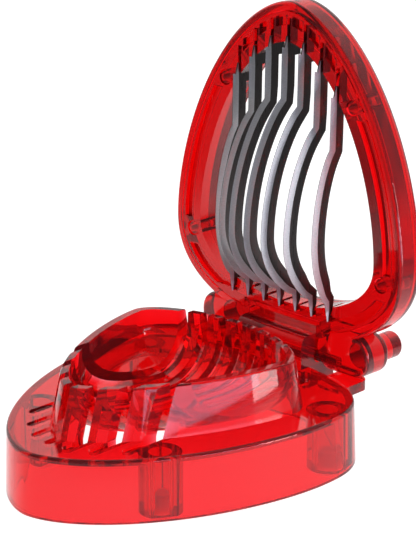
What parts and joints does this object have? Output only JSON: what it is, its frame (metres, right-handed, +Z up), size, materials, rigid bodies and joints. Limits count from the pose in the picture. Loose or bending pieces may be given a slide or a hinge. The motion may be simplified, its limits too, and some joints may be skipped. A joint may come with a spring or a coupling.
{
  "type": "egg slicer",
  "caption": "Hand-held slicer: a hinged lid with parallel steel blades presses an egg or strawberry through the slotted cup of its translucent base.",
  "frame": {"origin": "on the table, under the middle of the open slicer's box", "axes": "+X along the hinge, to the right when the slicer is seen from its pointed end; -Y towards the pointed end of the egg; +Z up, along the opened lid"},
  "size_m": [0.0774, 0.1054, 0.1084],
  "materials": {
    "red_styrene": "clear red, moulded, glossy, see-through",
    "stainless_steel": "stamped stainless strip, dark flats and a bright ground edge",
    "clear_silicone": "milky clear, soft, matt"
  },
  "bodies": {
    "base": {"base_tray": "red_styrene", "hinge_pin": "stainless_steel", "foot_front_left": "clear_silicone", "foot_front_right": "clear_silicone", "foot_rear_left": "clear_silicone", "foot_rear_right": "clear_silicone"},
    "lid": {"lid_shell": "red_styrene", "blade_retainer": "red_styrene", "blade_1": "stainless_steel", "blade_2": "stainless_steel", "blade_3": "stainless_steel", "blade_4": "stainless_steel", "blade_5": "stainless_steel", "blade_6": "stainless_steel", "blade_7": "stainless_steel"}
  },
  "joints": [
    {"name": "lid_hinge", "type": "hinge", "parent": "base", "child": "lid", "pos_m": [0, 0.03688, 0.01885], "axis": [1, 0, 0], "range_deg": [0, 91]}
  ]
}
